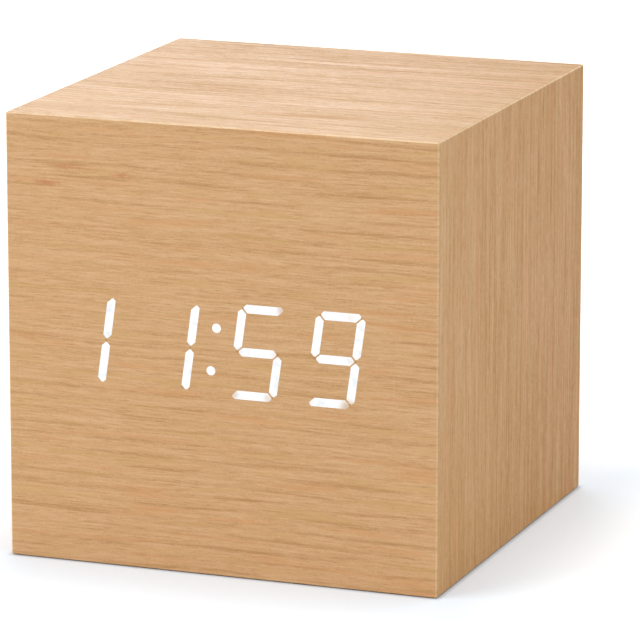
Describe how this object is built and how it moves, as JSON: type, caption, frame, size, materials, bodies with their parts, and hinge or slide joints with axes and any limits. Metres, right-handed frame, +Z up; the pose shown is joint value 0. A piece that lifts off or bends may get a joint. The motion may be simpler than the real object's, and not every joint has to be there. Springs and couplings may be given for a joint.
{
  "type": "digital alarm clock",
  "caption": "Cube-shaped wooden alarm clock: the lit time shows through its front veneer, with sprung set buttons at the back and a hinged battery door in the base.",
  "frame": {"origin": "on the table, under the middle of the cube", "axes": "+Z up, -Y out of the display, +X to the right of someone reading the time"},
  "size_m": [0.068, 0.068, 0.068],
  "materials": {
    "wood_veneer": "satin, fine open grain",
    "fibreboard": "raw, matt",
    "display_light": "lit white",
    "diffuser_film": "matt film",
    "white_plastic": "moulded, matt",
    "lamp_resin": "clear resin over phosphor",
    "circuit_board": "solder-mask lacquer",
    "screw_steel": "zinc plated",
    "chip_resin": "moulded resin, matt",
    "bright_metal": "nickel plated",
    "contact_brass": "gold plated",
    "bead_resin": "dipped resin",
    "black_plastic": "fine spark-eroded texture",
    "button_plastic": "satin",
    "plunger_plastic": "moulded, satin",
    "foot_rubber": "matt",
    "cell_jacket": "printed film jacket, plain",
    "cream_plastic": "moulded, satin",
    "grey_cable": "satin jacket",
    "red_cable": "satin jacket",
    "black_cable": "satin jacket"
  },
  "bodies": {
    "case": {"front_veneer": "wood_veneer", "wrap_veneer": "wood_veneer", "back_veneer": "wood_veneer", "front_board": "fibreboard", "top_board": "fibreboard", "left_board": "fibreboard", "right_board": "fibreboard", "back_board": "fibreboard", "corner_blocks": "fibreboard", "lit_segments": "display_light", "diffuser_sheet": "diffuser_film", "light_box": "white_plastic", "segment_lamps": "lamp_resin", "display_board": "circuit_board", "display_spacers": "white_plastic", "display_screws": "screw_steel", "controller_chip": "chip_resin", "clock_crystal": "bright_metal", "coin_cell_holder": "black_plastic", "coin_cell": "bright_metal", "coin_cell_clip": "contact_brass", "buzzer": "black_plastic", "microphone": "bright_metal", "thermistor": "bead_resin", "control_plate": "black_plastic", "control_plate_screws": "screw_steel", "key_switches": "black_plastic", "key_board": "circuit_board", "key_board_screws": "screw_steel", "power_inlet": "black_plastic", "power_inlet_pin": "bright_metal", "base_tray": "black_plastic", "base_screws": "screw_steel", "rubber_feet": "foot_rubber", "battery_cells": "cell_jacket", "contact_springs": "bright_metal", "contact_plates": "bright_metal", "link_headers": "cream_plastic", "link_plugs": "cream_plastic", "ribbon_cable": "grey_cable", "plus_lead": "red_cable", "minus_lead": "black_cable"},
    "set_key": {"set_button": "button_plastic", "set_plunger": "plunger_plastic"},
    "up_key": {"up_button": "button_plastic", "up_plunger": "plunger_plastic"},
    "down_key": {"down_button": "button_plastic", "down_plunger": "plunger_plastic"},
    "door": {"battery_door": "black_plastic"}
  },
  "joints": [
    {"name": "set_press", "type": "slide", "parent": "case", "child": "set_key", "axis": [0, -1, 0], "range_m": [0, 0.0004], "stiffness_N_per_m": 2000},
    {"name": "up_press", "type": "slide", "parent": "case", "child": "up_key", "axis": [0, -1, 0], "range_m": [0, 0.0004], "stiffness_N_per_m": 2000},
    {"name": "down_press", "type": "slide", "parent": "case", "child": "down_key", "axis": [0, -1, 0], "range_m": [0, 0.0004], "stiffness_N_per_m": 2000},
    {"name": "battery_door_swing", "type": "hinge", "parent": "case", "child": "door", "pos_m": [-0.0252, 0, 0.00135], "axis": [0, 1, 0], "range_deg": [0, 90]}
  ]
}
